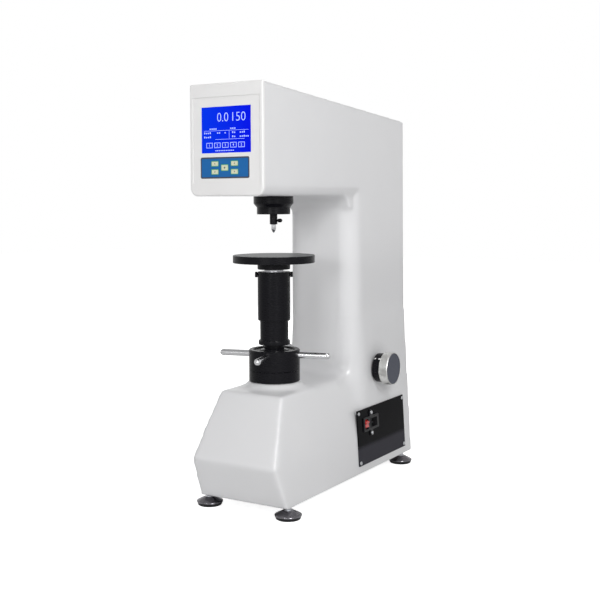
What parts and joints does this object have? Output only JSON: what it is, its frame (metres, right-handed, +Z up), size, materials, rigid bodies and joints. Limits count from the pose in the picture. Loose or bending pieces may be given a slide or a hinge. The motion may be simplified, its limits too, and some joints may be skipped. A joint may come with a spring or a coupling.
{
  "type": "bench hardness tester",
  "caption": "Bench hardness tester with a cast column housing, elevating screw and flat anvil, loaded indenter spindle, display panel, force knob and levelling feet.",
  "frame": {"origin": "on the bench, under the middle of the whole tester's box", "axes": "+Z up, front with the display towards -Y, force knob on the +X side"},
  "size_m": [0.227, 0.545, 0.75],
  "materials": {
    "white_paint": "satin white enamel over the casting",
    "white_panel": "satin white",
    "window": "clear window over a blue display",
    "electronics": "boards and modules",
    "membrane": "satin printed film",
    "key": "satin",
    "black_steel": "glossy black",
    "polished_steel": "polished",
    "machined_steel": "machined",
    "bronze": "machined",
    "red_plastic": "glossy",
    "black_plastic": "glossy",
    "foot_metal": "dark plated",
    "zinc": "zinc plated"
  },
  "bodies": {
    "frame": {"housing": "white_paint", "rear_cover": "white_panel", "top_cover": "white_panel", "bottom_plate": "zinc", "cover_screws": "zinc", "front_fascia": "white_panel", "display_window": "window", "display_module": "electronics", "membrane_panel": "membrane", "hub_base_ring": "black_steel", "thrust_bearing": "polished_steel", "guide_bush": "bronze", "guide_key": "machined_steel", "spindle_cover": "black_steel", "spindle_bush": "bronze", "balance_spring": "machined_steel", "lever_bracket": "machined_steel", "lever_pin": "machined_steel", "loading_motor": "black_plastic", "displacement_sensor": "electronics", "control_board": "electronics", "power_supply": "electronics", "side_panel": "black_steel", "power_inlet": "black_plastic", "panel_screws": "zinc", "selector_bush": "bronze"},
    "handwheel": {"handwheel_hub": "black_steel", "handwheel_spokes": "polished_steel", "lift_nut": "bronze", "inner_sleeve": "black_steel"},
    "lift": {"elevating_screw": "machined_steel", "outer_sleeve": "black_steel", "sleeve_screws": "black_steel", "anvil_hub": "black_steel", "anvil_plate": "machined_steel"},
    "spindle_unit": {"spindle": "machined_steel", "indenter": "polished_steel", "indenter_tip": "polished_steel"},
    "clamp_screw": {"indenter_screw": "polished_steel"},
    "lever": {"load_lever": "machined_steel"},
    "hanger": {"weight_hanger": "machined_steel", "weight_lower": "machined_steel", "weight_middle": "machined_steel", "weight_upper": "machined_steel"},
    "cam": {"loading_cam": "machined_steel"},
    "selector": {"knob_hub": "black_plastic", "knob_ring": "polished_steel", "knob_cap": "black_plastic", "selector_shaft": "machined_steel", "selector_cam": "machined_steel"},
    "rocker": {"power_rocker": "red_plastic"},
    "key_1_cap": {"key_1": "key"},
    "key_2_cap": {"key_2": "key"},
    "key_3_cap": {"key_3": "key"},
    "key_4_cap": {"key_4": "key"},
    "key_5_cap": {"key_5": "key"},
    "foot_front_left_screw": {"foot_front_left": "foot_metal"},
    "foot_front_right_screw": {"foot_front_right": "foot_metal"},
    "foot_rear_left_screw": {"foot_rear_left": "foot_metal"},
    "foot_rear_right_screw": {"foot_rear_right": "foot_metal"}
  },
  "joints": [
    {"name": "handwheel_turn", "type": "hinge", "parent": "frame", "child": "handwheel", "pos_m": [-0.00837, -0.1215, 0.267], "axis": [0, 0, -1], "range_deg": [-2160, 2340]},
    {"name": "screw_lift", "type": "slide", "parent": "frame", "child": "lift", "axis": [0, 0, 1], "range_m": [-0.0362, 0.0392]},
    {"name": "hanger_travel", "type": "slide", "parent": "frame", "child": "hanger", "axis": [0, 0, 1], "range_m": [0, 0.024]},
    {"name": "lever_tilt", "type": "hinge", "parent": "frame", "child": "lever", "pos_m": [-0.00837, -0.1465, 0.652], "axis": [1, 0, 0], "range_deg": [0, 4.7]},
    {"name": "spindle_travel", "type": "slide", "parent": "frame", "child": "spindle_unit", "axis": [0, 0, 1], "range_m": [0, 0.0021], "deforming": ["balance_spring"]},
    {"name": "clamp_screw_turn", "type": "hinge", "parent": "spindle_unit", "child": "clamp_screw", "pos_m": [0.00063, -0.1215, 0.512], "axis": [1, 0, 0], "range_deg": [0, 720]},
    {"name": "cam_turn", "type": "hinge", "parent": "frame", "child": "cam", "pos_m": [-0.00837, 0.1085, 0.6137], "axis": [1, 0, 0], "range_deg": [0, 180]},
    {"name": "force_knob_turn", "type": "hinge", "parent": "frame", "child": "selector", "pos_m": [0.09363, 0.1305, 0.214], "axis": [1, 0, 0], "range_deg": [0, 240]},
    {"name": "power_rocker_tilt", "type": "hinge", "parent": "frame", "child": "rocker", "pos_m": [0.07919, 0.0685, 0.11149], "axis": [0, -1, 0], "range_deg": [0, 16]},
    {"name": "key_1_press", "type": "slide", "parent": "frame", "child": "key_1_cap", "axis": [0, 1, 0], "range_m": [0, 0.0004], "stiffness_N_per_m": 2500},
    {"name": "key_2_press", "type": "slide", "parent": "frame", "child": "key_2_cap", "axis": [0, 1, 0], "range_m": [0, 0.0004], "stiffness_N_per_m": 2500},
    {"name": "key_3_press", "type": "slide", "parent": "frame", "child": "key_3_cap", "axis": [0, 1, 0], "range_m": [0, 0.0004], "stiffness_N_per_m": 2500},
    {"name": "key_4_press", "type": "slide", "parent": "frame", "child": "key_4_cap", "axis": [0, 1, 0], "range_m": [0, 0.0004], "stiffness_N_per_m": 2500},
    {"name": "key_5_press", "type": "slide", "parent": "frame", "child": "key_5_cap", "axis": [0, 1, 0], "range_m": [0, 0.0004], "stiffness_N_per_m": 2500},
    {"name": "foot_front_left_turn", "type": "hinge", "parent": "frame", "child": "foot_front_left_screw", "pos_m": [-0.09137, -0.2115, 0], "axis": [0, 0, 1], "range_deg": [-720, 720]},
    {"name": "foot_front_right_turn", "type": "hinge", "parent": "frame", "child": "foot_front_right_screw", "pos_m": [0.07463, -0.2115, 0], "axis": [0, 0, 1], "range_deg": [-720, 720]},
    {"name": "foot_rear_left_turn", "type": "hinge", "parent": "frame", "child": "foot_rear_left_screw", "pos_m": [-0.09137, 0.2365, 0], "axis": [0, 0, 1], "range_deg": [-720, 720]},
    {"name": "foot_rear_right_turn", "type": "hinge", "parent": "frame", "child": "foot_rear_right_screw", "pos_m": [0.07463, 0.2365, 0], "axis": [0, 0, 1], "range_deg": [-720, 720]}
  ],
  "couplings": [
    {"joint": "screw_lift", "follows": "handwheel_turn", "m_per_rad": 0.00095493},
    {"joint": "lever_tilt", "follows": "hanger_travel", "rad_per_m": 3.3333},
    {"joint": "spindle_travel", "follows": "hanger_travel", "ratio": 0.083333}
  ]
}
